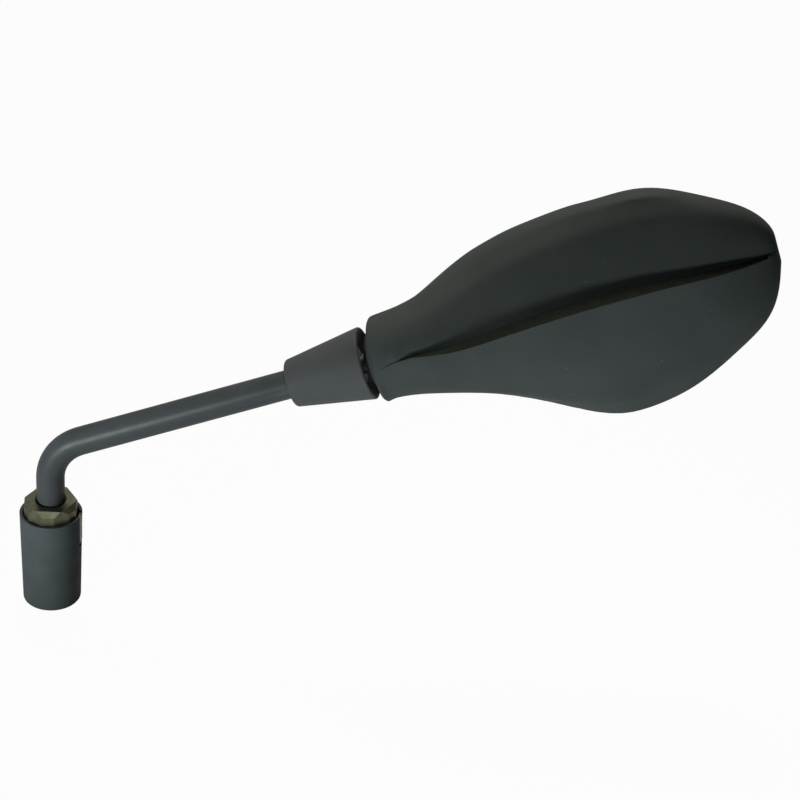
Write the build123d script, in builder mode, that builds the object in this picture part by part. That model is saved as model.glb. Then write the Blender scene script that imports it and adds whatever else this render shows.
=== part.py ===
"""Motorcycle mirror: threaded base, bent stem, ball joint, moulded head and convex glass.

Frame: the mounting thread runs up +Z from the origin, the stem bends towards +X,
the glass looks along +Y and the moulded back of the head looks along -Y.
"""
import os
from math import acos, atan2, copysign, cos, degrees, hypot, pi, radians, sin, sqrt, tan

from build123d import *

# Base: threaded adapter, spring washer, lock nut and the cover sleeve round them
ADAPTER_DIAMETER = 18.0
ADAPTER_HEIGHT = 32.3
ADAPTER_EDGE = 0.8
MOUNT_BORE_DIAMETER = 8.65
MOUNT_DEPTH = 15.0
KEY_SIDE_GAP = 0.2
KEY_NUT_GAP = 0.3
KEY_SUNK = 0.3
KEY_DROP = 0.8
WASHER_DIAMETER = 17.6
WASHER_BORE_DIAMETER = 10.4
WASHER_THICKNESS = 2.0
WASHER_SLIT = 1.6
NUT_ACROSS_FLATS = 18.4
NUT_ACROSS_CORNERS = 18.8
NUT_HEIGHT = 8.0
NUT_SLOPE_HEIGHT = 2.1
NUT_SLOPE_ANGLE = 30.0
NUT_COUNTERSINK = 1.0
NUT_TURN = 35.4
HEXAGON_TURN = 30.0
SLEEVE_HEIGHT = 37.0
SLEEVE_FOOT_DIAMETER = 20.8
SLEEVE_MOUTH_WALL = 1.0
SLEEVE_MOUTH_HEIGHT = 5.0
SLEEVE_EDGE = 0.9
SLEEVE_FIT = 0.05
SLEEVE_NUT_GAP = 0.45
SLOT_WIDTH = 4.6
SLOT_DEPTH = 13.9

# Stem: one bent rod with a threaded foot
ROD_DIAMETER = 10.0
THREAD_DIAMETER = 9.2
THREAD_FIT = 0.05
ROD_FOOT_GAP = 1.5
ROD_SHOULDER_GAP = 0.8
STEM_HEIGHT = 63.3
BEND_RADIUS = 18.0
ARM_RISE = 23.4
ARM_REACH = 120.8

# Ball joint; the inset is the ball's centre behind the end of the neck
BALL_RADIUS = 6.0
BALL_FIT = 0.05
SEAT_WALL = 1.85
BALL_INSET = 12.5
STUD_DIAMETER = 7.0
STUD_FLANGE_DIAMETER = 13.0
STUD_FLANGE_THICKNESS = 2.0
STUD_SHANK_DIAMETER = 6.0
STUD_SHANK_LENGTH = 14.0
SHANK_FIT = 0.05
RING_OPENING_ANGLE = 38.0
RING_END_ANGLE = 75.0
CUP_ANGLE = 62.0
CUP_RELIEF_ANGLE = 9.0
HEAD_SWING = 8.0
SWING_CLEARANCE = 0.3

# Collar that covers the end of the rod and the root of the ball stud
COLLAR_LENGTH = 29.0
COLLAR_SMALL_DIAMETER = 16.4
COLLAR_LARGE_DIAMETER = 25.8
COLLAR_EDGE = 1.2
COLLAR_MOUTH_EDGE = 0.8
COLLAR_FIT = 0.05

# Clamp that holds the ball in the neck of the head
CLAMP_SEAT = 8.0
CLAMP_FLANGE_THICKNESS = 2.5
CLAMP_HUB_RADIUS = 8.6
CLAMP_LAND = 0.6
SCREW_DIAMETER = 2.9
SCREW_FIT = 0.05
SCREW_HEAD_DIAMETER = 5.2
SCREW_HEAD_HEIGHT = 1.9
SCREW_LENGTH = 11.0
SCREW_EAR_WALL = 1.0
CLAMP_SCREW_OFFSET = 10.0

# Head, measured from the end of its neck: p outwards, q up across it, n towards its back
NECK_RADIUS = 14.5
NECK_TILT = 3.0
NECK_EDGE = 2.5
NECK_EDGE_SHARE = 0.88
NOSE_STEP = 0.8
HEAD_LENGTH = 138.1
RIM_DEPTH = 15.0
FLARE_START = 5.0
FLARE_END = 45.0
FRONT_OVERRUN = 7.0
HEAD_WALL = 3.0
SECTION_SQUARENESS = 3.2
CREST_FALL = 16.5
CREST_FALL_START = 25.0
CREST_FALL_POWER = 1.6
CREST_RISE = 3.5
CREST_TURN_POWER = 3.0
TIP_ROUNDING = 28.0
TIP_DEPTH = 2.4
CREASE_DROP = 5.2
CREASE_FULLNESS = 0.8
CREASE_LINE = 0.08
CREASE_START = 7.5
CREASE_SLANT = 38.0
SECTION_POINTS = 24

# Glass and what carries it, in the front of the head
RIM_LIP = 1.8
GLASS_RECESS = 6.0
GLASS_START = 29.0
GLASS_TIP_GAP = 3.0
GLASS_THICKNESS = 2.0
GLASS_RADIUS = 1300.0
GLASS_PROUD = 0.2
PLATE_THICKNESS = 2.0
PLATE_FIT = 0.15
GASKET_WALL = 0.8
GASKET_SUNK = 0.3
FOAM_MARGIN = 2.5
BOSS_DIAMETER = 7.0
BOSS_PLACES = [(52.0, 12.0), (52.0, -18.0), (98.0, 12.0), (98.0, -28.0)]
PLATE_SCREW_LENGTH = 9.0

# Upper and lower edge of the head in p and q, up to the blunt tip
NECK_TOP = (2 * NECK_RADIUS * sin(radians(NECK_TILT)), NECK_RADIUS * (2 * cos(radians(NECK_TILT)) - 1))
TOP_EDGE = [NECK_TOP, (21.0, 16.4), (45.0, 24.2), (79.0, 28.8), (105.0, 26.4), (129.0, 12.7),
            (HEAD_LENGTH, -0.6)]
BOTTOM_EDGE = [(0.0, -NECK_RADIUS), (23.0, -19.2), (47.0, -30.9), (79.0, -48.2), (103.0, -43.5),
               (129.0, -28.7), (HEAD_LENGTH, -10.9)]
TIP_LEAN = 0.3
STATIONS = [0, 0.07, 0.14, 0.22, 0.31, 0.41, 0.52, 0.63, 0.74, 0.83, 0.90, 0.955, 1]
RIM_STATIONS = [0.27, 0.36, 0.47, 0.58, 0.69, 0.80, 0.90]

os.makedirs("parts", exist_ok=True)

arm = Vector(cos(radians(ARM_RISE)), 0, sin(radians(ARM_RISE)))
bend_corner = Vector(0, 0, STEM_HEIGHT)
head = Plane(origin=bend_corner + arm * ARM_REACH, x_dir=arm, z_dir=(0, -1, 0))
neck_slope = NECK_RADIUS * sin(radians(NECK_TILT))
neck_way = (cos(radians(NECK_TILT)), -sin(radians(NECK_TILT)))
neck = Plane(
    origin=head.from_local_coords(Vector(NECK_TOP[0] / 2, (NECK_TOP[1] - NECK_RADIUS) / 2, 0)),
    x_dir=head.x_dir * neck_way[0] + head.y_dir * neck_way[1],
    z_dir=(0, -1, 0),
)
joint = Plane(origin=head.origin + arm * (neck_slope + BALL_INSET), x_dir=arm, z_dir=(0, -1, 0))
arm_axis = Axis(joint.origin, arm)

nose_root = NECK_RADIUS - NECK_EDGE - NOSE_STEP
nose_radius = hypot(nose_root, BALL_INSET)
edge_centre = Vector(NECK_EDGE_SHARE * NECK_EDGE, NECK_RADIUS - NECK_EDGE_SHARE * NECK_EDGE, 0)
lowest_edge = neck.from_local_coords(Vector(edge_centre.X, -edge_centre.Y, 0)) - joint.origin
collar_cup_radius = lowest_edge.length + NECK_EDGE + SWING_CLEARANCE
collar_rim = -sqrt(collar_cup_radius**2 - (COLLAR_LARGE_DIAMETER / 2) ** 2)
flange_bore = STUD_FLANGE_DIAMETER / 2 + COLLAR_FIT
flange_front = -sqrt(collar_cup_radius**2 - flange_bore**2)
flange_back = flange_front - STUD_FLANGE_THICKNESS
seat_outer = BALL_RADIUS + BALL_FIT + SEAT_WALL
seat_bore = seat_outer + BALL_FIT


def across_arm(distance):
    """Plane square to the arm, its x across the head and its y towards the head's back."""
    return Plane(origin=joint.origin + arm * distance, x_dir=head.y_dir, z_dir=arm)


def on_sphere(radius, angle):
    """Point of a sphere round the ball's centre, its angle taken from the stud side of the arm."""
    return (-radius * cos(radians(angle)), radius * sin(radians(angle)))


# Threaded adapter: turned zinc-plated bar, tapped from both ends, with a key for the sleeve's slot
rod_bore = THREAD_DIAMETER / 2 + THREAD_FIT
nut_reach = 2 * sqrt(
    (NUT_ACROSS_FLATS / 2) ** 2
    + (NUT_ACROSS_CORNERS / 2) ** 2
    - NUT_ACROSS_FLATS * NUT_ACROSS_CORNERS / 2 * cos(radians(HEXAGON_TURN))
)
sleeve_bore = ADAPTER_DIAMETER / 2 + SLEEVE_FIT
sleeve_mouth = nut_reach + SLEEVE_NUT_GAP
key_reach = sleeve_mouth + SLEEVE_MOUTH_WALL - KEY_SUNK
key_width = SLOT_WIDTH - 2 * KEY_SIDE_GAP
slot_floor = SLEEVE_HEIGHT - SLOT_DEPTH
with BuildPart() as adapter:
    with BuildSketch():
        Circle(ADAPTER_DIAMETER / 2)
    extrude(amount=ADAPTER_HEIGHT)
    chamfer(adapter.edges().filter_by(GeomType.CIRCLE), length=ADAPTER_EDGE)
    with BuildSketch(Plane.XZ):
        with BuildLine():
            Polyline(
                (rod_bore, slot_floor + SLOT_WIDTH / 2),
                (key_reach, slot_floor + SLOT_WIDTH / 2),
                (key_reach, SLEEVE_HEIGHT - KEY_DROP),
                (nut_reach + KEY_NUT_GAP, SLEEVE_HEIGHT - KEY_DROP),
                (nut_reach + KEY_NUT_GAP, ADAPTER_HEIGHT - ADAPTER_EDGE),
                (rod_bore, ADAPTER_HEIGHT - ADAPTER_EDGE),
                close=True,
            )
        make_face()
    extrude(amount=key_width / 2, both=True)
    with BuildSketch():
        Circle(MOUNT_BORE_DIAMETER / 2)
    extrude(amount=MOUNT_DEPTH, mode=Mode.SUBTRACT)
    with BuildSketch(Plane.XY.offset(MOUNT_DEPTH)):
        Circle(rod_bore)
    extrude(amount=ADAPTER_HEIGHT - MOUNT_DEPTH, mode=Mode.SUBTRACT)
adapter.part.label = "threaded_adapter"
export_step(adapter.part, "parts/threaded_adapter.step")

# Lock washer: flat-wound spring ring with a slit, under the nut
with BuildPart() as washer:
    with BuildSketch(Plane.XY.offset(ADAPTER_HEIGHT)):
        Circle(WASHER_DIAMETER / 2)
        Circle(WASHER_BORE_DIAMETER / 2, mode=Mode.SUBTRACT)
        Rectangle(WASHER_DIAMETER, WASHER_SLIT, align=(Align.MAX, Align.CENTER), mode=Mode.SUBTRACT)
    extrude(amount=WASHER_THICKNESS)
washer.part.label = "lock_washer"
export_step(washer.part, "parts/lock_washer.step")

# Lock nut: hexagon with its corners milled flat and sloped at the top, and a countersunk bore
nut_foot = ADAPTER_HEIGHT + WASHER_THICKNESS
nut_top = nut_foot + NUT_HEIGHT
with BuildPart() as nut:
    with BuildSketch(Plane.XY.offset(nut_foot)):
        RegularPolygon(NUT_ACROSS_CORNERS / 2, 6, major_radius=False, rotation=NUT_TURN + HEXAGON_TURN)
    extrude(amount=NUT_HEIGHT - NUT_SLOPE_HEIGHT)
    extrude(nut.faces().sort_by(Axis.Z)[-1], amount=NUT_SLOPE_HEIGHT, taper=NUT_SLOPE_ANGLE)
    with BuildSketch(Plane.XY.offset(nut_foot)):
        RegularPolygon(NUT_ACROSS_FLATS / 2, 6, major_radius=False, rotation=NUT_TURN)
    extrude(amount=NUT_HEIGHT, mode=Mode.INTERSECT)
    with BuildSketch(Plane.XY.offset(nut_foot)):
        Circle(rod_bore)
    extrude(amount=NUT_HEIGHT, mode=Mode.SUBTRACT)
    chamfer(nut.faces().sort_by(Axis.Z)[-1].inner_wires().edges(), length=NUT_COUNTERSINK)
nut.part.label = "lock_nut"
export_step(nut.part, "parts/lock_nut.step")

# Cover sleeve: thin tapered moulding pushed over the adapter, slit at its mouth
with BuildPart() as sleeve:
    with BuildSketch(Plane.XZ):
        with BuildLine():
            Polyline(
                (sleeve_bore, 0),
                (SLEEVE_FOOT_DIAMETER / 2, 0),
                (sleeve_mouth + SLEEVE_MOUTH_WALL, SLEEVE_HEIGHT),
                (sleeve_mouth, SLEEVE_HEIGHT),
                (sleeve_mouth, SLEEVE_HEIGHT - SLEEVE_MOUTH_HEIGHT),
                (sleeve_bore, SLEEVE_HEIGHT - 2 * SLEEVE_MOUTH_HEIGHT),
                close=True,
            )
        make_face()
    revolve(axis=Axis.Z)
    fillet(sleeve.edges().group_by(Axis.Z)[0].sort_by(SortBy.RADIUS)[-1], radius=SLEEVE_EDGE)
    with BuildSketch(Plane.YZ):
        with Locations((0, slot_floor + SLOT_WIDTH / 2)):
            Circle(SLOT_WIDTH / 2)
        with Locations((0, SLEEVE_HEIGHT)):
            Rectangle(SLOT_WIDTH, 2 * SLOT_DEPTH - SLOT_WIDTH)
    extrude(amount=SLEEVE_FOOT_DIAMETER, mode=Mode.SUBTRACT)
sleeve.part.label = "base_sleeve"
export_step(sleeve.part, "parts/base_sleeve.step")

# Stem rod: round bar with one bend, its foot turned for the thread and its end bored for the stud
rod_foot = MOUNT_DEPTH + ROD_FOOT_GAP
rod_shoulder = nut_top + ROD_SHOULDER_GAP
rod_end = ARM_REACH + neck_slope + BALL_INSET + flange_back
with BuildPart() as rod:
    with BuildLine(Plane.XZ) as rod_path:
        FilletPolyline(
            (0, rod_shoulder),
            (0, STEM_HEIGHT),
            (rod_end * arm.X, STEM_HEIGHT + rod_end * arm.Z),
            radius=BEND_RADIUS,
        )
    with BuildSketch(Plane.XY.offset(rod_shoulder)):
        Circle(ROD_DIAMETER / 2)
    sweep(path=rod_path.wires()[0])
    with BuildSketch(Plane.XY.offset(rod_foot)):
        Circle(THREAD_DIAMETER / 2)
    extrude(amount=rod_shoulder - rod_foot)
    with BuildSketch(across_arm(flange_back)):
        Circle(STUD_SHANK_DIAMETER / 2 + SHANK_FIT)
    extrude(amount=-(STUD_SHANK_LENGTH + ROD_FOOT_GAP), mode=Mode.SUBTRACT)
rod.part.label = "stem_rod"
export_step(rod.part, "parts/stem_rod.step")

# Collar: moulded cone over the rod's end, its mouth cupped round the neck of the head
collar_start = collar_rim - COLLAR_LENGTH
collar_bore = ROD_DIAMETER / 2 + COLLAR_FIT
cup_middle = (COLLAR_LARGE_DIAMETER / 2 + flange_bore) / 2
with BuildPart() as collar:
    with BuildSketch(joint):
        with BuildLine():
            Polyline(
                (flange_front, flange_bore),
                (flange_back, flange_bore),
                (flange_back, collar_bore),
                (collar_start, collar_bore),
                (collar_start, COLLAR_SMALL_DIAMETER / 2),
                (collar_rim, COLLAR_LARGE_DIAMETER / 2),
            )
            ThreePointArc(
                (collar_rim, COLLAR_LARGE_DIAMETER / 2),
                (-sqrt(collar_cup_radius**2 - cup_middle**2), cup_middle),
                (flange_front, flange_bore),
            )
        make_face()
    revolve(axis=arm_axis)
    fillet(collar.edges().group_by(arm_axis)[0].sort_by(SortBy.RADIUS)[-1], radius=COLLAR_EDGE)
    fillet(collar.edges().group_by(arm_axis)[-1], radius=COLLAR_MOUTH_EDGE)
collar.part.label = "stem_collar"
export_step(collar.part, "parts/stem_collar.step")

# Ball stud: turned ball, neck, flange and the shank that goes into the rod
with BuildPart() as stud:
    with Locations(joint):
        Sphere(BALL_RADIUS)
    with BuildSketch(across_arm(flange_back)):
        Circle(STUD_DIAMETER / 2)
    extrude(amount=-flange_back)
    with BuildSketch(across_arm(flange_back)):
        Circle(STUD_FLANGE_DIAMETER / 2)
    extrude(amount=STUD_FLANGE_THICKNESS)
    with BuildSketch(across_arm(flange_back)):
        Circle(STUD_SHANK_DIAMETER / 2)
    extrude(amount=-STUD_SHANK_LENGTH)
stud.part.label = "ball_stud"
export_step(stud.part, "parts/ball_stud.step")

# Friction seats: a ring on the stud side of the ball and a cup behind it with a relief hole at its crown
seats = [
    ("ball_seat_ring", RING_OPENING_ANGLE, RING_END_ANGLE),
    ("ball_seat_cup", 180 - CUP_ANGLE, 180 - CUP_RELIEF_ANGLE),
]
seat_inner = BALL_RADIUS + BALL_FIT
for seat_name, start, end in seats:
    middle = (start + end) / 2
    with BuildPart() as seat:
        with BuildSketch(joint):
            with BuildLine():
                ThreePointArc(*[on_sphere(seat_inner, angle) for angle in (start, middle, end)])
                Line(on_sphere(seat_inner, end), on_sphere(seat_outer, end))
                ThreePointArc(*[on_sphere(seat_outer, angle) for angle in (end, middle, start)])
                Line(on_sphere(seat_outer, start), on_sphere(seat_inner, start))
            make_face()
        revolve(axis=arm_axis)
    seat.part.label = seat_name
    export_step(seat.part, f"parts/{seat_name}.step")

# Clamp cap: spigot that presses the cup on the ball, with an ear for each screw
clamp_top = CLAMP_SEAT + CLAMP_FLANGE_THICKNESS
spigot_radius = seat_bore - BALL_FIT
land_radius = spigot_radius - CLAMP_LAND
land_start = sqrt(seat_bore**2 - land_radius**2)
dish_middle = land_radius / 2
screw_bore = SCREW_DIAMETER / 2 + SCREW_FIT
clamp_screw_places = [(CLAMP_SCREW_OFFSET, 0), (-CLAMP_SCREW_OFFSET, 0)]
with BuildPart() as clamp:
    with BuildSketch(joint):
        with BuildLine():
            ThreePointArc(
                (seat_bore, 0),
                (sqrt(seat_bore**2 - dish_middle**2), dish_middle),
                (land_start, land_radius),
            )
            Polyline(
                (land_start, land_radius),
                (land_start, spigot_radius),
                (clamp_top, spigot_radius),
                (clamp_top, 0),
                (seat_bore, 0),
            )
        make_face()
    revolve(axis=arm_axis)
    with BuildSketch(across_arm(CLAMP_SEAT)):
        Circle(CLAMP_HUB_RADIUS)
        with Locations(*clamp_screw_places):
            Circle(screw_bore + SCREW_EAR_WALL)
        make_hull()
    extrude(amount=CLAMP_FLANGE_THICKNESS)
    with BuildSketch(across_arm(CLAMP_SEAT)):
        with Locations(*clamp_screw_places):
            Circle(screw_bore)
    extrude(amount=CLAMP_FLANGE_THICKNESS, mode=Mode.SUBTRACT)
clamp.part.label = "clamp_cap"
export_step(clamp.part, "parts/clamp_cap.step")

with BuildPart() as clamp_screws:
    with BuildSketch(across_arm(clamp_top)):
        with Locations(*clamp_screw_places):
            Circle(SCREW_DIAMETER / 2)
    extrude(amount=-SCREW_LENGTH)
    with BuildSketch(across_arm(clamp_top)):
        with Locations(*clamp_screw_places):
            Circle(SCREW_HEAD_DIAMETER / 2)
    extrude(amount=SCREW_HEAD_HEIGHT)
clamp_screws.part.label = "clamp_screws"
export_step(clamp_screws.part, "parts/clamp_screws.step")

# Edges of the head, as curves in p and q
with BuildLine() as top_line:
    Spline(*TOP_EDGE, tangents=[neck_way, (TIP_LEAN, -1)])
with BuildLine() as bottom_line:
    Spline(*BOTTOM_EDGE, tangents=[neck_way, (TIP_LEAN, 1)])
top_edge = top_line.edges()[0]
bottom_edge = bottom_line.edges()[0]
tip_q = (TOP_EDGE[-1][1] + BOTTOM_EDGE[-1][1]) / 2


def crest_height(p):
    """Height of the back's crest over the arm's axis: level by the neck, then falling to the tip."""
    fall = max(0.0, p - CREST_FALL_START) / (HEAD_LENGTH - CREST_FALL_START)
    return NECK_RADIUS - CREST_FALL * fall**CREST_FALL_POWER


def crest_place(p):
    """Where the crest runs across the head: on the axis at the neck, at the tip's middle at the end."""
    share = p / HEAD_LENGTH
    return CREST_RISE * sin(pi * share) + tip_q * share**CREST_TURN_POWER


def head_section(station, inset):
    """Plane, points and end directions of one section, from the crease round the front to the crest.

    The section is four quarters of a squared ellipse round the crest's foot, the upper back one lowered by
    the crease's step. The neck's section is round, on the arm's axis. Over the flare its centre goes to the
    rim's plane, so that the widest line of the head is its rim.
    """
    top = top_edge @ station
    bottom = bottom_edge @ station
    middle = (top + bottom) / 2
    p = middle.X
    flare = min(1.0, max(0.0, (p - FLARE_START) / (FLARE_END - FLARE_START)))
    flare = flare * flare * (3 - 2 * flare)
    centre = -RIM_DEPTH * flare
    end = max(0.0, (p - HEAD_LENGTH + TIP_ROUNDING) / TIP_ROUNDING)
    crown = crest_height(p) - centre
    crown = TIP_DEPTH + (crown - TIP_DEPTH) * sqrt(1 - min(1.0, end) ** 2) - inset
    lens = min(1.0, max(0.0, (p - CREASE_START) / (HEAD_LENGTH - CREASE_START)))
    step = CREASE_LINE + (CREASE_DROP - CREASE_LINE) * (4 * lens * (1 - lens)) ** CREASE_FULLNESS
    front = NECK_RADIUS + (FRONT_OVERRUN - NECK_RADIUS) * flare - inset
    power = 2 / (2 + (SECTION_SQUARENESS - 2) * flare)
    foot = crest_place(p) - middle.Y
    half = (top - bottom).length / 2 - inset
    first = acos((step * tan(radians(CREASE_SLANT)) / (half - foot)) ** (1 / power))
    points = []
    for number in range(SECTION_POINTS + 1):
        turn = first - (first + 1.5 * pi) * number / SECTION_POINTS
        across = copysign(abs(cos(turn)) ** power, cos(turn))
        out = copysign(abs(sin(turn)) ** power, sin(turn))
        reach = half - foot if across > 0 else half + foot
        if out < 0:
            depth = front
        elif number < SECTION_POINTS / 2:
            depth = crown - step
        else:
            depth = crown
        points.append((foot + reach * across, centre + depth * out))
    points[-1] = (foot, centre + crown)
    up = head.x_dir * (top - bottom).X + head.y_dir * (top - bottom).Y
    plane = Plane(origin=head.from_local_coords(middle), x_dir=up, z_dir=up.cross(head.z_dir))
    return plane, points


def rim_points(inset):
    """Points of the head's front outline, moved in from its edge by the inset."""
    points = [(GLASS_START + inset, (TOP_EDGE[0][1] + BOTTOM_EDGE[0][1]) / 2)]
    for station in RIM_STATIONS:
        along = top_edge % station
        points.append(top_edge @ station + Vector(along.Y, -along.X) * inset)
    points.append((HEAD_LENGTH - GLASS_TIP_GAP - inset, tip_q))
    for station in reversed(RIM_STATIONS):
        along = bottom_edge % station
        points.append(bottom_edge @ station + Vector(-along.Y, along.X) * inset)
    return points


# Forms of the head: its outside and its cavity, each one loft through the sections
forms = []
for inset, stations in ((0, STATIONS), (HEAD_WALL, STATIONS[1:-1])):
    with BuildPart() as form:
        for station in stations:
            plane, points = head_section(station, inset)
            with BuildSketch(plane):
                with BuildLine():
                    Spline(*points)
                    Line(points[-1], points[0])
                make_face()
        loft()
    forms.append(form.part)
outer_form, hollow_form = forms

# Cavity behind the glass, left solid where the screw bosses stand
rim_plane = head.offset(-RIM_DEPTH)
ledge_plane = head.offset(GLASS_RECESS - RIM_DEPTH)
with BuildPart() as cavity:
    add(hollow_form)
    split(bisect_by=ledge_plane, keep=Keep.TOP)
    split(bisect_by=across_arm(CLAMP_SEAT), keep=Keep.TOP)
    with BuildSketch(ledge_plane):
        with Locations(*BOSS_PLACES):
            Circle(BOSS_DIAMETER / 2)
    extrude(amount=2 * RIM_DEPTH, mode=Mode.SUBTRACT)

# Housing: moulded shell with the ball's seat in its neck, a round nose, and a recess for the glass
largest_swing = radians(hypot(HEAD_SWING, HEAD_SWING))
passage_end = -nose_radius - SWING_CLEARANCE
passage_root = STUD_DIAMETER / 2 / cos(largest_swing) + SWING_CLEARANCE
passage_mouth = passage_root - passage_end * tan(largest_swing)
nose_angle = degrees(atan2(nose_root, BALL_INSET))
nose_depth = 2 * neck_slope + SWING_CLEARANCE - BALL_INSET
with BuildPart() as housing:
    add(outer_form)
    split(bisect_by=rim_plane, keep=Keep.TOP)
    add(cavity.part, mode=Mode.SUBTRACT)
    with BuildSketch(rim_plane):
        with BuildLine():
            Spline(*rim_points(RIM_LIP), periodic=True)
        make_face()
    extrude(amount=GLASS_RECESS, mode=Mode.SUBTRACT)
    with BuildSketch(neck):
        with Locations(edge_centre):
            Rectangle(2 * NECK_EDGE, 2 * NECK_EDGE, align=(Align.MAX, Align.MIN))
            Circle(NECK_EDGE, mode=Mode.SUBTRACT)
    revolve(axis=Axis(neck.origin, neck.x_dir), mode=Mode.SUBTRACT)
    with BuildSketch(joint):
        with BuildLine():
            Polyline(
                (-BALL_INSET, nose_root),
                (nose_depth, nose_root),
                (nose_depth, 0),
                (-nose_radius, 0),
            )
            ThreePointArc((-nose_radius, 0), on_sphere(nose_radius, nose_angle / 2), (-BALL_INSET, nose_root))
        make_face()
    revolve(axis=arm_axis)
    with BuildSketch(joint):
        with BuildLine():
            Polyline(
                (0, 0),
                (0, passage_root),
                (passage_end, passage_mouth),
                (passage_end, 0),
                close=True,
            )
        make_face()
    revolve(axis=arm_axis, mode=Mode.SUBTRACT)
    with Locations(joint):
        Sphere(seat_bore, mode=Mode.SUBTRACT)
    with BuildSketch(across_arm(0)):
        Circle(seat_bore)
    extrude(amount=CLAMP_SEAT, mode=Mode.SUBTRACT)
    with BuildSketch(across_arm(CLAMP_SEAT)):
        with Locations(*clamp_screw_places):
            Circle(screw_bore)
    extrude(amount=-SCREW_LENGTH, mode=Mode.SUBTRACT)
    with BuildSketch(ledge_plane):
        with Locations(*BOSS_PLACES):
            Circle(screw_bore)
    extrude(amount=PLATE_SCREW_LENGTH, mode=Mode.SUBTRACT)
housing.part.label = "housing_shell"
export_step(housing.part, "parts/housing_shell.step")

# Backing plate: flat sheet on the ledge and the bosses, countersunk for its screws
plate_front = head.offset(GLASS_RECESS - RIM_DEPTH - PLATE_THICKNESS)
head_cone = SCREW_HEAD_DIAMETER / 2 - SCREW_DIAMETER / 2
with BuildPart() as plate:
    with BuildSketch(plate_front):
        with BuildLine():
            Spline(*rim_points(RIM_LIP + PLATE_FIT), periodic=True)
        make_face()
    extrude(amount=PLATE_THICKNESS)
    with BuildSketch(plate_front):
        with Locations(*BOSS_PLACES):
            Circle(screw_bore)
    extrude(amount=PLATE_THICKNESS, mode=Mode.SUBTRACT)
    chamfer(plate.faces().sort_by(Axis.Y)[-1].inner_wires().edges(), length=head_cone)
plate.part.label = "backing_plate"
export_step(plate.part, "parts/backing_plate.step")

with BuildPart() as plate_screws:
    with BuildSketch(plate_front):
        with Locations(*BOSS_PLACES):
            Circle(SCREW_DIAMETER / 2)
    extrude(amount=PLATE_SCREW_LENGTH)
    for place in BOSS_PLACES:
        with BuildSketch(plate_front):
            with Locations(place):
                Circle(SCREW_HEAD_DIAMETER / 2 - SCREW_FIT)
        with BuildSketch(plate_front.offset(head_cone)):
            with Locations(place):
                Circle(SCREW_DIAMETER / 2 - SCREW_FIT)
        loft()
plate_screws.part.label = "plate_screws"
export_step(plate_screws.part, "parts/plate_screws.step")

# Glass, foam and gasket: the glass is a sheet between two spheres round one far centre
glass_middle = ((GLASS_START + HEAD_LENGTH) / 2, tip_q)
glass_centre = head.offset(GLASS_RADIUS - GLASS_PROUD - RIM_DEPTH).from_local_coords(
    Vector(glass_middle[0], glass_middle[1], 0)
)
glass_inset = RIM_LIP + PLATE_FIT + GASKET_WALL + PLATE_FIT
with BuildPart() as glass:
    with BuildSketch(plate_front):
        with BuildLine():
            Spline(*rim_points(glass_inset), periodic=True)
        make_face()
    extrude(amount=-2 * GLASS_RECESS)
    with Locations(glass_centre):
        Sphere(GLASS_RADIUS, mode=Mode.INTERSECT)
        Sphere(GLASS_RADIUS - GLASS_THICKNESS, mode=Mode.SUBTRACT)
glass.part.label = "mirror_glass"
export_step(glass.part, "parts/mirror_glass.step")

with BuildPart() as foam:
    with BuildSketch(plate_front):
        with BuildLine():
            Spline(*rim_points(glass_inset + FOAM_MARGIN), periodic=True)
        make_face()
    extrude(amount=-2 * GLASS_RECESS)
    with Locations(glass_centre):
        Sphere(GLASS_RADIUS - GLASS_THICKNESS, mode=Mode.INTERSECT)
foam.part.label = "foam_pad"
export_step(foam.part, "parts/foam_pad.step")

with BuildPart() as gasket:
    with BuildSketch(plate_front):
        with BuildLine():
            Spline(*rim_points(RIM_LIP + PLATE_FIT), periodic=True)
        make_face()
        with BuildLine():
            Spline(*rim_points(RIM_LIP + PLATE_FIT + GASKET_WALL), periodic=True)
        make_face(mode=Mode.SUBTRACT)
    extrude(amount=-(GLASS_RECESS - PLATE_THICKNESS - GASKET_SUNK))
gasket.part.label = "rim_gasket"
export_step(gasket.part, "parts/rim_gasket.step")
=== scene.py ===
"""Looks of a motorcycle mirror: plated base, painted stem, moulded head and silvered glass."""

import bpy
import numpy as np
from mathutils import Matrix, Vector


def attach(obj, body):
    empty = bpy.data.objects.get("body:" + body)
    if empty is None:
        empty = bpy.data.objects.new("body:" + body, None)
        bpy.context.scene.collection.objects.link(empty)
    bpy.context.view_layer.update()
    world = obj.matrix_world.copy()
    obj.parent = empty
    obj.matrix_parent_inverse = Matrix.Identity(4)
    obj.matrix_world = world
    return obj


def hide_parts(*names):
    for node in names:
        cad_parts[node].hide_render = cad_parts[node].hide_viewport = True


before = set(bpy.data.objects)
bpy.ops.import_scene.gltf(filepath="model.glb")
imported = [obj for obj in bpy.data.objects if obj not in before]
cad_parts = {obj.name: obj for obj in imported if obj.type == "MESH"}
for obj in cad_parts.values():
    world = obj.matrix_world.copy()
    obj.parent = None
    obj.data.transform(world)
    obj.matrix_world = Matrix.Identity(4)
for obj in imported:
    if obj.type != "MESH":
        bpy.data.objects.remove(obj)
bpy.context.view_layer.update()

# Threaded adapter: turned steel bar inside the base, tapped at both ends to take the handlebar's stud and
# the stem. It is zinc plated and passivated to an olive tone, and shows through the slit of the sleeve.
MM = 0.001


def bare_material(name, piece):
    """Gives a piece one new material and returns its nodes, its links and its shader."""
    material = bpy.data.materials.new(name)
    material.use_nodes = True
    piece.data.materials.clear()
    piece.data.materials.append(material)
    return material.node_tree.nodes, material.node_tree.links, material.node_tree.nodes["Principled BSDF"]


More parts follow.
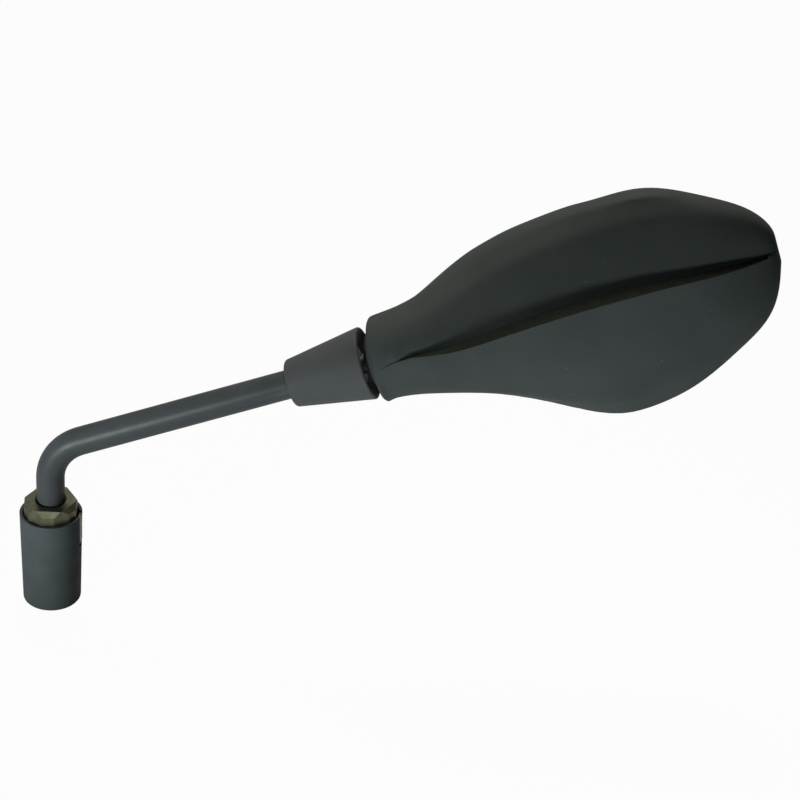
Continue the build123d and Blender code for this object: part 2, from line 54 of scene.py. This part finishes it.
def mottle_group():
    """Node group: three octaves of noise round a middle value, stretched to fill nought to one."""
    tree = bpy.data.node_groups.new("finish_mottle", "ShaderNodeTree")
    tree.interface.new_socket("Patch Size", in_out="INPUT", socket_type="NodeSocketFloat")
    tree.interface.new_socket("Mottle", in_out="OUTPUT", socket_type="NodeSocketFloat")
    inputs = tree.nodes.new("NodeGroupInput")
    outputs = tree.nodes.new("NodeGroupOutput")
    place = tree.nodes.new("ShaderNodeTexCoord")
    scale = tree.nodes.new("ShaderNodeMath")
    scale.operation = "DIVIDE"
    scale.inputs[0].default_value = 1.0
    noise = tree.nodes.new("ShaderNodeTexNoise")
    noise.inputs["Detail"].default_value = 3.0
    spread = tree.nodes.new("ShaderNodeMapRange")
    spread.inputs["From Min"].default_value = 0.3
    spread.inputs["From Max"].default_value = 0.7
    tree.links.new(inputs.outputs["Patch Size"], scale.inputs[1])
    tree.links.new(place.outputs["Object"], noise.inputs["Vector"])
    tree.links.new(scale.outputs[0], noise.inputs["Scale"])
    tree.links.new(noise.outputs["Fac"], spread.inputs["Value"])
    tree.links.new(spread.outputs["Result"], outputs.inputs["Mottle"])
    return tree


finish_mottle = mottle_group()


def mottled(nodes, links, size, low, high, socket):
    """Drives a colour or value socket between two ends by a mottle of the given patch size."""
    group = nodes.new("ShaderNodeGroup")
    group.node_tree = finish_mottle
    group.inputs["Patch Size"].default_value = size
    if isinstance(low, tuple):
        blend = nodes.new("ShaderNodeMix")
        blend.data_type = "RGBA"
        blend.inputs["A"].default_value = (*low, 1)
        blend.inputs["B"].default_value = (*high, 1)
        links.new(group.outputs["Mottle"], blend.inputs["Factor"])
        links.new(blend.outputs["Result"], socket)
    else:
        blend = nodes.new("ShaderNodeMapRange")
        blend.inputs["To Min"].default_value = low
        blend.inputs["To Max"].default_value = high
        links.new(group.outputs["Mottle"], blend.inputs["Value"])
        links.new(blend.outputs["Result"], socket)
    return group


def grain_group():
    """Node group: height of a moulded or sprayed skin, fine noise with a coarser orange peel under it."""
    tree = bpy.data.node_groups.new("skin_grain", "ShaderNodeTree")
    for name in ("Grain Size", "Peel Size", "Peel Share"):
        tree.interface.new_socket(name, in_out="INPUT", socket_type="NodeSocketFloat")
    tree.interface.new_socket("Height", in_out="OUTPUT", socket_type="NodeSocketFloat")
    inputs = tree.nodes.new("NodeGroupInput")
    outputs = tree.nodes.new("NodeGroupOutput")
    place = tree.nodes.new("ShaderNodeTexCoord")
    layers = []
    for name in ("Grain Size", "Peel Size"):
        scale = tree.nodes.new("ShaderNodeMath")
        scale.operation = "DIVIDE"
        scale.inputs[0].default_value = 1.0
        noise = tree.nodes.new("ShaderNodeTexNoise")
        noise.inputs["Detail"].default_value = 1.5
        tree.links.new(inputs.outputs[name], scale.inputs[1])
        tree.links.new(place.outputs["Object"], noise.inputs["Vector"])
        tree.links.new(scale.outputs[0], noise.inputs["Scale"])
        layers.append(noise.outputs["Fac"])
    blend = tree.nodes.new("ShaderNodeMix")
    tree.links.new(inputs.outputs["Peel Share"], blend.inputs["Factor"])
    tree.links.new(layers[0], blend.inputs["A"])
    tree.links.new(layers[1], blend.inputs["B"])
    tree.links.new(blend.outputs["Result"], outputs.inputs["Height"])
    return tree


skin_grain = grain_group()


def grained(nodes, links, shader, grain, peel, share, depth):
    """Bumps a shader with the skin grain: sizes and depth in metres."""
    group = nodes.new("ShaderNodeGroup")
    group.node_tree = skin_grain
    group.inputs["Grain Size"].default_value = grain
    group.inputs["Peel Size"].default_value = peel
    group.inputs["Peel Share"].default_value = share
    bump = nodes.new("ShaderNodeBump")
    bump.inputs["Distance"].default_value = depth
    links.new(group.outputs["Height"], bump.inputs["Height"])
    links.new(bump.outputs["Normal"], shader.inputs["Normal"])


def zinc_plating(name, node):
    """Olive passivated zinc: metal with a cloudy straw and green tone and a fine blasted skin."""
    nodes, links, shader = bare_material(name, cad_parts[node])
    shader.inputs["Metallic"].default_value = 0.9
    mottled(nodes, links, 5 * MM, (0.105, 0.108, 0.068), (0.150, 0.153, 0.105), shader.inputs["Base Color"])
    mottled(nodes, links, 2 * MM, 0.34, 0.50, shader.inputs["Roughness"])
    grained(nodes, links, shader, 0.25 * MM, 1.5 * MM, 0.4, 0.03 * MM)


zinc_plating("adapter_zinc", "threaded_adapter")

# Lock washer: spring ring that lies under the nut and keeps it from working loose.
# It is stamped from spring steel and plated as the adapter is.
zinc_plating("washer_zinc", "lock_washer")

# Lock nut: hexagon bar nut on the stem's thread, turned down at its corners so that it drops into the
# sleeve's mouth. It has the adapter's plating.
zinc_plating("nut_zinc", "lock_nut")

# Cover sleeve: thin black moulding pushed over the adapter, slit at its mouth so that it can spread.
# Its skin is dull, with the faint grey bloom that rubber gets.
nodes, links, shader = bare_material("sleeve_rubber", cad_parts["base_sleeve"])
shader.inputs["Specular IOR Level"].default_value = 0.12
mottled(nodes, links, 9 * MM, (0.046, 0.058, 0.060), (0.058, 0.070, 0.072), shader.inputs["Base Color"])
mottled(nodes, links, 4 * MM, 0.58, 0.72, shader.inputs["Roughness"])
grained(nodes, links, shader, 0.35 * MM, 2.5 * MM, 0.35, 0.05 * MM)

# Stem rod: round steel bar, bent once, with its foot screwed into the adapter.
# It is powder coated satin black, so its skin has a faint orange peel.
nodes, links, shader = bare_material("rod_paint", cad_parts["stem_rod"])
shader.inputs["Specular IOR Level"].default_value = 0.14
mottled(nodes, links, 14 * MM, (0.036, 0.042, 0.045), (0.046, 0.052, 0.055), shader.inputs["Base Color"])
mottled(nodes, links, 3 * MM, 0.36, 0.44, shader.inputs["Roughness"])
grained(nodes, links, shader, 0.4 * MM, 1.6 * MM, 0.6, 0.02 * MM)

# Collar: moulded cone pushed over the rod's end, where it covers the foot of the ball stud.
# It is matte black, and the spark-eroded mould leaves a fine grain on it.
nodes, links, shader = bare_material("collar_plastic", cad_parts["stem_collar"])
shader.inputs["Specular IOR Level"].default_value = 0.14
mottled(nodes, links, 12 * MM, (0.046, 0.051, 0.052), (0.054, 0.060, 0.061), shader.inputs["Base Color"])
mottled(nodes, links, 3 * MM, 0.52, 0.62, shader.inputs["Roughness"])
grained(nodes, links, shader, 0.4 * MM, 1.8 * MM, 0.3, 0.06 * MM)

# Ball stud and screws: the stud is turned steel and ends the rod with a ball, and the screws hold the clamp
# and the backing plate. All are bright zinc plated.
for node in ("ball_stud", "clamp_screws", "plate_screws"):
    nodes, links, shader = bare_material(node + "_steel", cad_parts[node])
    shader.inputs["Metallic"].default_value = 1.0
    mottled(nodes, links, 4 * MM, (0.16, 0.16, 0.165), (0.24, 0.24, 0.245), shader.inputs["Base Color"])
    mottled(nodes, links, 1.5 * MM, 0.30, 0.42, shader.inputs["Roughness"])
    grained(nodes, links, shader, 0.2 * MM, 1 * MM, 0.3, 0.02 * MM)

# Friction seats: a ring and a cup that grip the ball from both sides, so that the head stays as it is set.
# They are moulded in natural nylon and greased at assembly.
for node in ("ball_seat_ring", "ball_seat_cup"):
    nodes, links, shader = bare_material(node + "_nylon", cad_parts[node])
    mottled(nodes, links, 3 * MM, (0.70, 0.67, 0.60), (0.78, 0.76, 0.70), shader.inputs["Base Color"])
    mottled(nodes, links, 2 * MM, 0.30, 0.45, shader.inputs["Roughness"])
    grained(nodes, links, shader, 0.3 * MM, 1.5 * MM, 0.3, 0.02 * MM)

# Clamp cap: moulding that presses the cup on the ball, drawn to the housing by two screws.
# It is dark glass-filled nylon, with the faintly cloudy skin that the fibres give.
nodes, links, shader = bare_material("clamp_nylon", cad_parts["clamp_cap"])
mottled(nodes, links, 3 * MM, (0.10, 0.10, 0.105), (0.14, 0.14, 0.145), shader.inputs["Base Color"])
mottled(nodes, links, 2 * MM, 0.45, 0.6, shader.inputs["Roughness"])
grained(nodes, links, shader, 0.3 * MM, 1.2 * MM, 0.3, 0.04 * MM)

# Housing: one moulding in matte black, its neck over the ball joint and its back stepped along a crease.
# The mould is spark eroded, so the skin has a fine even grain, and a little dust lies on it.


def dust_group():
    """Node group: mask of dust specks, the small round middles of a few random cells."""
    tree = bpy.data.node_groups.new("dust_specks", "ShaderNodeTree")
    for name in ("Cell Size", "Speck Size", "Share"):
        tree.interface.new_socket(name, in_out="INPUT", socket_type="NodeSocketFloat")
    tree.interface.new_socket("Mask", in_out="OUTPUT", socket_type="NodeSocketFloat")
    inputs = tree.nodes.new("NodeGroupInput")
    outputs = tree.nodes.new("NodeGroupOutput")
    place = tree.nodes.new("ShaderNodeTexCoord")
    cells = tree.nodes.new("ShaderNodeTexVoronoi")
    scale, radius, near, chosen, both = [tree.nodes.new("ShaderNodeMath") for _ in range(5)]
    scale.operation = "DIVIDE"
    scale.inputs[0].default_value = 1.0
    radius.operation = "DIVIDE"
    near.operation = "LESS_THAN"
    chosen.operation = "LESS_THAN"
    both.operation = "MULTIPLY"
    split = tree.nodes.new("ShaderNodeSeparateColor")
    tree.links.new(inputs.outputs["Cell Size"], scale.inputs[1])
    tree.links.new(place.outputs["Object"], cells.inputs["Vector"])
    tree.links.new(scale.outputs[0], cells.inputs["Scale"])
    tree.links.new(inputs.outputs["Speck Size"], radius.inputs[0])
    tree.links.new(inputs.outputs["Cell Size"], radius.inputs[1])
    tree.links.new(cells.outputs["Distance"], near.inputs[0])
    tree.links.new(radius.outputs[0], near.inputs[1])
    tree.links.new(cells.outputs["Color"], split.inputs["Color"])
    tree.links.new(split.outputs["Red"], chosen.inputs[0])
    tree.links.new(inputs.outputs["Share"], chosen.inputs[1])
    tree.links.new(near.outputs[0], both.inputs[0])
    tree.links.new(chosen.outputs[0], both.inputs[1])
    tree.links.new(both.outputs[0], outputs.inputs["Mask"])
    return tree


dust_specks = dust_group()

# Sizes that the solid has too, with the edges as points along and across the head in millimetres.
ARM_RISE = np.radians(23.4)
STEM_HEIGHT = 63.3 * MM
ARM_REACH = 120.8 * MM
HEAD_LENGTH = 138.1 * MM
RIM_DEPTH = 15.0 * MM
RECESS = 6.0 * MM
NECK_RADIUS = 14.5 * MM
SQUARENESS = 3.2
CREST_FALL = 16.5 * MM
CREST_FALL_START = 25.0 * MM
CREST_FALL_POWER = 1.6
CREST_RISE = 3.5 * MM
CREST_END = -5.75 * MM
TIP_ROUNDING = 28.0 * MM
TIP_DEPTH = 2.4 * MM
CREASE_START = 7.5 * MM
CREASE_DROP = 5.2 * MM
CREASE_FULLNESS = 0.8
CREASE_SLANT = np.radians(38)
TOP_EDGE = [(0, 14.5), (21, 16.4), (45, 24.2), (79, 28.8), (105, 26.4), (129, 12.7), (138.1, -0.6)]
BOTTOM_EDGE = [(0, -14.5), (23, -19.2), (47, -30.9), (79, -48.2), (103, -43.5)]
BOTTOM_EDGE += [(129, -28.7), (138.1, -10.9)]
NECK_WAY = (0.9986, -0.0523)
TOP_TIP_WAY = (0.287, -0.958)
BOTTOM_TIP_WAY = (0.287, 0.958)
SPAN_POINTS = 40

# Panels beside the crest: fall up to the edge, place of the shoulder and height at the edge, as shares.
UPPER_PANEL = (0.48, 0.80, 0.24)
LOWER_PANEL = (0.20, 0.77, 0.49)
SHOULDER_ROUNDING = 1.1 * MM
PANELS_FROM_NECK = (16.0 * MM, 46.0 * MM)
PANELS_FROM_TIP = (4.0 * MM, 34.0 * MM)
EDGE_LIMIT = 0.97
TIP_LIMIT = 0.999

# Crease: how much of the solid's drop and riser is kept, its lift by the neck, and where it starts to open.
DROP_SHARE = 0.62
RISER_SHARE = 0.4
CREASE_LIFT = 4.0 * MM
LIFT_PLACE = 11.0 * MM
LIFT_REACH = 13.0 * MM
LIFT_START = 4.0 * MM
LIFT_WIDTH = 12.0 * MM
CREASE_OPENING = (9.0 * MM, 14.0 * MM)
FILL_WIDTH = 10.0 * MM
# Where the crease's painted shade lies: its run along the head, its band across it from the crest line, and
# how far its faces lean across the head and face back.
RISER_RUN = (11.0 * MM, 134.0 * MM)
RISER_BAND = (-1.0 * MM, 5.2 * MM)
RISER_LEAN = 0.45
RISER_FACING = 0.3
MERGE_SIZE = 0.001 * MM
SHARP_ANGLE = np.radians(30)

arm = np.array([np.cos(ARM_RISE), 0, np.sin(ARM_RISE)])
across = np.array([-np.sin(ARM_RISE), 0, np.cos(ARM_RISE)])
neck_end = np.array([0, 0, STEM_HEIGHT]) + arm * ARM_REACH


def merged_copy(node):
    """Corners and triangles of a CAD node, with the corners that lie on each other made one."""
    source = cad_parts[node].data
    corners = np.empty(3 * len(source.vertices))
    source.vertices.foreach_get("co", corners)
    order = np.empty(len(source.loops), dtype=int)
    source.loops.foreach_get("vertex_index", order)
    cells = np.round(corners.reshape(-1, 3) / MERGE_SIZE).astype(np.int64)
    _, first, group = np.unique(cells, axis=0, return_index=True, return_inverse=True)
    triangles = group.reshape(-1)[order].reshape(-1, 3)
    flat = (triangles == np.roll(triangles, 1, axis=1)).any(axis=1)
    return corners.reshape(-1, 3)[first], triangles[~flat]


def edge_curve(points, start, end):
    """Smooth line through points: cubic spans on chord lengths whose bends agree where they meet."""
    points = np.array(points) * MM
    span = np.linalg.norm(np.diff(points, axis=0), axis=1)
    system, slopes = np.eye(len(points)), np.zeros((len(points), 2))
    slopes[0], slopes[-1] = start, end
    for inner in range(1, len(points) - 1):
        before, after = span[inner - 1], span[inner]
        system[inner, inner - 1 : inner + 2] = 1 / before, 2 / before + 2 / after, 1 / after
        slopes[inner] = 3 * (points[inner] - points[inner - 1]) / before**2
        slopes[inner] += 3 * (points[inner + 1] - points[inner]) / after**2
    slopes = np.linalg.solve(system, slopes)
    s = np.linspace(0, 1, SPAN_POINTS, endpoint=False)[:, None, None]
    line = (2 * s**3 - 3 * s**2 + 1) * points[:-1] + (3 * s**2 - 2 * s**3) * points[1:]
    line += ((s**3 - 2 * s**2 + s) * slopes[:-1] + (s**3 - s**2) * slopes[1:]) * span[:, None]
    return np.vstack([line.transpose(1, 0, 2).reshape(-1, 2), points[-1:]]).T


def eased(value, low, high):
    """Smooth rise from nought at the low end to one at the high end."""
    share = np.clip((value - low) / (high - low), 0, 1)
    return share * share * (3 - 2 * share)


def crest_line(along):
    """Where the crest runs across the head: on the axis at the neck, at the tip's middle at the end."""
    share = np.clip(along / HEAD_LENGTH, 0, 1)
    return CREST_RISE * np.sin(np.pi * share) + CREST_END * share**3


def two_panels(way, top, fall, shoulder, end):
    """Height of a panel that falls evenly from its top to a bevel, with a round shoulder between them."""
    panel = top * (1 - fall * way)
    bevel = top * (end + (1 - fall * shoulder - end) * (1 - way) / (1 - shoulder))
    return (panel + bevel - np.sqrt((panel - bevel) ** 2 + SHOULDER_ROUNDING**2)) / 2


def faceted(corners):
    """Back of the head with flat panels, bevels along both edges and a narrow crease.

    Each height over the rim's plane is scaled by the ratio of two sections at that place: a panel and a
    bevel on each side of the crest, over the solid's quarters of a squared ellipse. The crease's riser is
    narrowed across the head, lifted by the neck, and filled before the place where it opens.
    """
    along, up = (corners - neck_end) @ arm, (corners - neck_end) @ across
    height = RIM_DEPTH - corners[:, 1]
    over = up - crest_line(along)
    fall = np.clip((along - CREST_FALL_START) / (HEAD_LENGTH - CREST_FALL_START), 0, 1)
    crown = NECK_RADIUS + RIM_DEPTH - CREST_FALL * fall**CREST_FALL_POWER
    end = np.clip((along - HEAD_LENGTH + TIP_ROUNDING) / TIP_ROUNDING, 0, TIP_LIMIT)
    crown = TIP_DEPTH + (crown - TIP_DEPTH) * np.sqrt(1 - end**2)
    run = np.clip((along - CREASE_START) / (HEAD_LENGTH - CREASE_START), 0, 1)
    step = np.maximum(CREASE_DROP * (4 * run * (1 - run)) ** CREASE_FULLNESS, MERGE_SIZE)
    riser = step * np.tan(CREASE_SLANT)
    upper = np.interp(along, *edge_curve(TOP_EDGE, NECK_WAY, TOP_TIP_WAY)) - crest_line(along)
    lower = crest_line(along) - np.interp(along, *edge_curve(BOTTOM_EDGE, NECK_WAY, BOTTOM_TIP_WAY))
    upper, lower = np.maximum(upper, 2 * riser + MM), np.maximum(lower, MM)

    way = np.clip(np.where(over > 0, np.maximum(over, riser) / upper, -over / lower), 0, EDGE_LIMIT)
    old = np.where(over > 0, crown - step, crown) * (1 - way**SQUARENESS) ** (1 / SQUARENESS)
    above = two_panels(way, crown - DROP_SHARE * step, *UPPER_PANEL)
    below = np.minimum(two_panels(way, crown, *LOWER_PANEL), old)
    new = np.where(over > 0, above, below)
    on_riser = np.clip(1 - over / riser, 0, 1) * (over > 0)
    old += (crown - old) * on_riser
    new += (crown - new) * on_riser
    reach = eased(along, *PANELS_FROM_NECK) * eased(HEAD_LENGTH - along, *PANELS_FROM_TIP)
    scale = 1 + reach * (new / old - 1)

    beyond = over - riser * (1 - RISER_SHARE) * (upper - over) / (upper - riser)
    narrowed = np.where(over < riser, over * RISER_SHARE, beyond)
    narrowed = np.where((over > 0) & (over < upper), narrowed, over)
    near = np.exp(-((along - LIFT_PLACE) / LIFT_REACH) ** 2) * eased(along, 0, LIFT_START)
    lift = CREASE_LIFT * near * np.exp(-((over / LIFT_WIDTH) ** 2))
    behind = eased(height, RECESS, 2 * RECESS)
    closed = (1 - eased(along, *CREASE_OPENING)) * np.clip(1 - over / FILL_WIDTH, 0, 1)
    fill = behind * step * (1 - on_riser) * closed * (over > 0)
    moved = corners + np.outer(behind * (narrowed - over + lift), across)
    moved[:, 1] = np.where(height > 0, RIM_DEPTH - height * scale - fill, corners[:, 1])
    return moved


def crease_shade_faces(corners, triangles):
    """One for the triangles of the crease's riser, which lean across the head beside the crest line; these
    get the crease's painted shade.
    """
    a, b, c = (corners[triangles[:, number]] for number in range(3))
    normal = np.cross(b - a, c - a)
    normal /= np.maximum(np.linalg.norm(normal, axis=1, keepdims=True), MERGE_SIZE**2)
    middle = (a + b + c) / 3 - neck_end
    along = middle @ arm
    over = middle @ across - crest_line(along)
    near = (over > RISER_BAND[0]) & (over < RISER_BAND[1])
    near &= (along > RISER_RUN[0]) & (along < RISER_RUN[1])
    leaning = (normal @ across > RISER_LEAN) & (normal[:, 1] < -RISER_FACING)
    return (leaning & near).astype(np.float32)


corners, triangles = merged_copy("housing_shell")
shell_mesh = bpy.data.meshes.new("housing_skin")
shell_mesh.from_pydata(faceted(corners).tolist(), [], triangles.tolist())
shell_mesh.shade_smooth()
shell_mesh.set_sharp_from_angle(angle=SHARP_ANGLE)
# The riser's faces are kept as a face attribute: the mask where the crease's shade is painted.
crease_shade_share = shell_mesh.attributes.new("riser", "FLOAT", "FACE")
crease_shade_share.data.foreach_set("value", crease_shade_faces(corners, triangles))
shell = bpy.data.objects.new("housing_skin", shell_mesh)
bpy.context.collection.objects.link(shell)
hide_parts("housing_shell")
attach(shell, "head")

# Housing material: mottled black plastic with dust specks and grain, and painted shade on the crease's
# riser.
nodes, links, shader = bare_material("shell_plastic", shell)
shader.inputs["Specular IOR Level"].default_value = 0.05
skin = nodes.new("ShaderNodeMix")
skin.data_type = "RGBA"
skin.inputs["B"].default_value = (0.16, 0.17, 0.16, 1)
mottled(nodes, links, 16 * MM, (0.038, 0.046, 0.045), (0.045, 0.053, 0.052), skin.inputs["A"])
specks = nodes.new("ShaderNodeGroup")
specks.node_tree = dust_specks
specks.inputs["Cell Size"].default_value = 2.6 * MM
specks.inputs["Speck Size"].default_value = 0.16 * MM
specks.inputs["Share"].default_value = 0.12
links.new(specks.outputs["Mask"], skin.inputs["Factor"])
# Painted shade: a near-black colour on the crease's riser stands in for the shade that falls in the crease.
crease_shade_mask = nodes.new("ShaderNodeAttribute")
crease_shade_mask.attribute_name = "riser"
crease_painted_shade = nodes.new("ShaderNodeMix")
crease_painted_shade.data_type = "RGBA"
crease_painted_shade.inputs["B"].default_value = (0.004, 0.0068, 0.0042, 1)
links.new(crease_shade_mask.outputs["Fac"], crease_painted_shade.inputs["Factor"])
links.new(skin.outputs["Result"], crease_painted_shade.inputs["A"])
links.new(crease_painted_shade.outputs["Result"], shader.inputs["Base Color"])
mottled(nodes, links, 4 * MM, 0.55, 0.65, shader.inputs["Roughness"])
grained(nodes, links, shader, 0.45 * MM, 2 * MM, 0.3, 0.08 * MM)

# Backing plate: moulded sheet that lies on the housing's ledge and closes the head behind the glass.
# It is plain black plastic, held by four screws.
nodes, links, shader = bare_material("plate_plastic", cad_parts["backing_plate"])
mottled(nodes, links, 10 * MM, (0.05, 0.05, 0.052), (0.07, 0.07, 0.072), shader.inputs["Base Color"])
mottled(nodes, links, 3 * MM, 0.45, 0.6, shader.inputs["Roughness"])
grained(nodes, links, shader, 0.4 * MM, 2 * MM, 0.3, 0.04 * MM)

# Foam pad: die-cut sheet of grey foam, sticky on both faces, that carries the glass on the plate.
# Its open cells make it mottled and dull.
nodes, links, shader = bare_material("foam_cells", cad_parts["foam_pad"])
mottled(nodes, links, 0.8 * MM, (0.15, 0.15, 0.15), (0.25, 0.25, 0.25), shader.inputs["Base Color"])
mottled(nodes, links, 1 * MM, 0.85, 0.95, shader.inputs["Roughness"])
grained(nodes, links, shader, 0.6 * MM, 1.5 * MM, 0.2, 0.3 * MM)

# Glass: float glass, bent convex and silvered behind, stuck to the foam.
# Its tone is cool, and its reflections are very slightly uneven.
nodes, links, shader = bare_material("silvered_glass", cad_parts["mirror_glass"])
shader.inputs["Metallic"].default_value = 1.0
mottled(nodes, links, 40 * MM, (0.80, 0.83, 0.84), (0.85, 0.87, 0.88), shader.inputs["Base Color"])
mottled(nodes, links, 25 * MM, 0.015, 0.04, shader.inputs["Roughness"])

# Gasket: soft black strip pressed into the gap between the glass and the housing's rim.
# It is extruded rubber, with a dull skin.
nodes, links, shader = bare_material("gasket_rubber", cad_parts["rim_gasket"])
mottled(nodes, links, 6 * MM, (0.025, 0.025, 0.026), (0.038, 0.038, 0.039), shader.inputs["Base Color"])
mottled(nodes, links, 3 * MM, 0.6, 0.75, shader.inputs["Roughness"])
grained(nodes, links, shader, 0.3 * MM, 1.5 * MM, 0.3, 0.04 * MM)

# Studio: a paper floor under the base and a surround. Both are white to the camera, and dimmer as light and
# in reflections, so that they don't fill the shaded sides. The surround is darker overhead and on the right.
FLOOR_HALF = 20.0
FLOOR_WHITE = 0.97
FLOOR_IN_REFLECTIONS = 0.4
SURROUND_IN_REFLECTIONS = 0.6
SURROUND_AS_LIGHT = 0.16
OVERHEAD_FADE = (0.05, 0.7, 0.1)
RIGHT_FADE = (-0.2, 0.9, 0.3)


def white_to_view(nodes, links):
    """Factor that is one for camera and transmission rays, less for glossy and nought for diffuse ones."""
    path = nodes.new("ShaderNodeLightPath")
    mirrored, first, second = [nodes.new("ShaderNodeMath") for _ in range(3)]
    mirrored.operation = "MULTIPLY"
    mirrored.inputs[1].default_value = FLOOR_IN_REFLECTIONS
    for node in (first, second):
        node.operation = "MAXIMUM"
    links.new(path.outputs["Is Glossy Ray"], mirrored.inputs[0])
    links.new(path.outputs["Is Camera Ray"], first.inputs[0])
    links.new(mirrored.outputs[0], first.inputs[1])
    links.new(first.outputs[0], second.inputs[0])
    links.new(path.outputs["Is Transmission Ray"], second.inputs[1])
    return second.outputs[0]


floor_mesh = bpy.data.meshes.new("floor")
corner = np.array([[-1, -1], [1, -1], [1, 1], [-1, 1]]) * FLOOR_HALF
floor_mesh.from_pydata(np.column_stack([corner, np.zeros(4)]).tolist(), [], [(0, 1, 2, 3)])
floor = bpy.data.objects.new("floor", floor_mesh)
bpy.context.collection.objects.link(floor)
paper = bpy.data.materials.new("floor_paper")
paper.use_nodes = True
floor_mesh.materials.append(paper)
nodes, links = paper.node_tree.nodes, paper.node_tree.links
nodes["Principled BSDF"].inputs["Base Color"].default_value = (0.40, 0.40, 0.395, 1)
nodes["Principled BSDF"].inputs["Roughness"].default_value = 0.9
nodes["Principled BSDF"].inputs["Specular IOR Level"].default_value = 0.1
glow = nodes.new("ShaderNodeEmission")
share = nodes.new("ShaderNodeMath")
share.operation = "MULTIPLY"
share.inputs[1].default_value = FLOOR_WHITE
cover = nodes.new("ShaderNodeMixShader")
links.new(white_to_view(nodes, links), share.inputs[0])
links.new(share.outputs[0], cover.inputs["Fac"])
links.new(nodes["Principled BSDF"].outputs["BSDF"], cover.inputs[1])
links.new(glow.outputs["Emission"], cover.inputs[2])
links.new(cover.outputs["Shader"], nodes["Material Output"].inputs["Surface"])


def faded(nodes, links, value, low, high, least):
    """Strength that falls evenly from one to its least while a direction's share goes from low to high."""
    fade = nodes.new("ShaderNodeMapRange")
    fade.inputs["From Min"].default_value = low
    fade.inputs["From Max"].default_value = high
    fade.inputs["To Min"].default_value = 1.0
    fade.inputs["To Max"].default_value = least
    links.new(value, fade.inputs["Value"])
    return fade.outputs["Result"]


world = bpy.data.worlds.new("studio")
bpy.context.scene.world = world
world.use_nodes = True
nodes, links = world.node_tree.nodes, world.node_tree.links
way = nodes.new("ShaderNodeTexCoord")
split = nodes.new("ShaderNodeSeparateXYZ")
shade = nodes.new("ShaderNodeMath")
shade.operation = "MULTIPLY"
links.new(way.outputs["Generated"], split.inputs["Vector"])
links.new(faded(nodes, links, split.outputs["Z"], *OVERHEAD_FADE), shade.inputs[0])
links.new(faded(nodes, links, split.outputs["X"], *RIGHT_FADE), shade.inputs[1])
path = nodes.new("ShaderNodeLightPath")
mirrored = nodes.new("ShaderNodeMath")
mirrored.operation = "MAXIMUM"
dimmed = nodes.new("ShaderNodeMapRange")
dimmed.inputs["To Min"].default_value = SURROUND_AS_LIGHT
dimmed.inputs["To Max"].default_value = SURROUND_IN_REFLECTIONS
strength = nodes.new("ShaderNodeMath")
strength.operation = "MULTIPLY"
seen = nodes.new("ShaderNodeMix")
links.new(path.outputs["Is Glossy Ray"], mirrored.inputs[0])
links.new(path.outputs["Is Transmission Ray"], mirrored.inputs[1])
links.new(mirrored.outputs[0], dimmed.inputs["Value"])
links.new(dimmed.outputs["Result"], strength.inputs[0])
links.new(shade.outputs[0], strength.inputs[1])
links.new(path.outputs["Is Camera Ray"], seen.inputs["Factor"])
links.new(strength.outputs[0], seen.inputs["A"])
seen.inputs["B"].default_value = 1.0
nodes["Background"].inputs["Color"].default_value = (1, 1, 1, 1)
links.new(seen.outputs["Result"], nodes["Background"].inputs["Strength"])

# Lamps: a low one in front of the head and one on the left for the stem, both cool, and a warm one above
# and behind. Each has its place, aim, width and height, spread in degrees, watts and colour.
lamps = [
    ("front", (0.185, -0.165, 0.012), (0.195, 0, 0.13), (0.20, 0.02), 75, 0.084, (0.95, 0.99, 1.0)),
    ("left", (-0.15, -0.27, 0.09), (0.01, 0, 0.07), (0.14, 0.11), 48, 0.130, (0.95, 0.99, 1.0)),
    ("top", (0.06, 0.24, 0.68), (0.16, 0, 0.13), (0.3, 0.3), 40, 0.38, (1.0, 0.94, 0.84)),
]
for name, place, aim, size, spread, power, colour in lamps:
    lamp = bpy.data.lights.new(name, "AREA")
    lamp.shape = "RECTANGLE"
    lamp.size, lamp.size_y = size
    lamp.spread = np.radians(spread)
    lamp.energy = power
    lamp.color = colour
    holder = bpy.data.objects.new(name, lamp)
    bpy.context.collection.objects.link(holder)
    holder.location = place
    holder.rotation_euler = (Vector(aim) - Vector(place)).to_track_quat("-Z", "Y").to_euler()

# Camera: above the head's back, as in the photograph, and turned a little about its own line of sight.
# Its lens and sensor are in millimetres.
CAMERA_AIM = Vector((0.12054, 0, 0.097))
CAMERA_DISTANCE = 0.61451
CAMERA_HEIGHT_ANGLE = np.radians(30.289)
CAMERA_ROLL = np.radians(5.592)
LENS_LENGTH = 81
SENSOR_WIDTH = 36
back = Vector((0, -np.cos(CAMERA_HEIGHT_ANGLE), np.sin(CAMERA_HEIGHT_ANGLE)))
level = Vector((1, 0, 0))
upright = back.cross(level)
right = level * np.cos(CAMERA_ROLL) + upright * np.sin(CAMERA_ROLL)
up = upright * np.cos(CAMERA_ROLL) - level * np.sin(CAMERA_ROLL)
lens = bpy.data.cameras.new("camera")
lens.lens = LENS_LENGTH
lens.sensor_width = SENSOR_WIDTH
camera = bpy.data.objects.new("camera", lens)
bpy.context.collection.objects.link(camera)
stand = Matrix.Translation(CAMERA_AIM + back * CAMERA_DISTANCE)
camera.matrix_world = stand @ Matrix((right, up, back)).transposed().to_4x4()
bpy.context.scene.camera = camera
bpy.context.scene.view_settings.view_transform = "Standard"
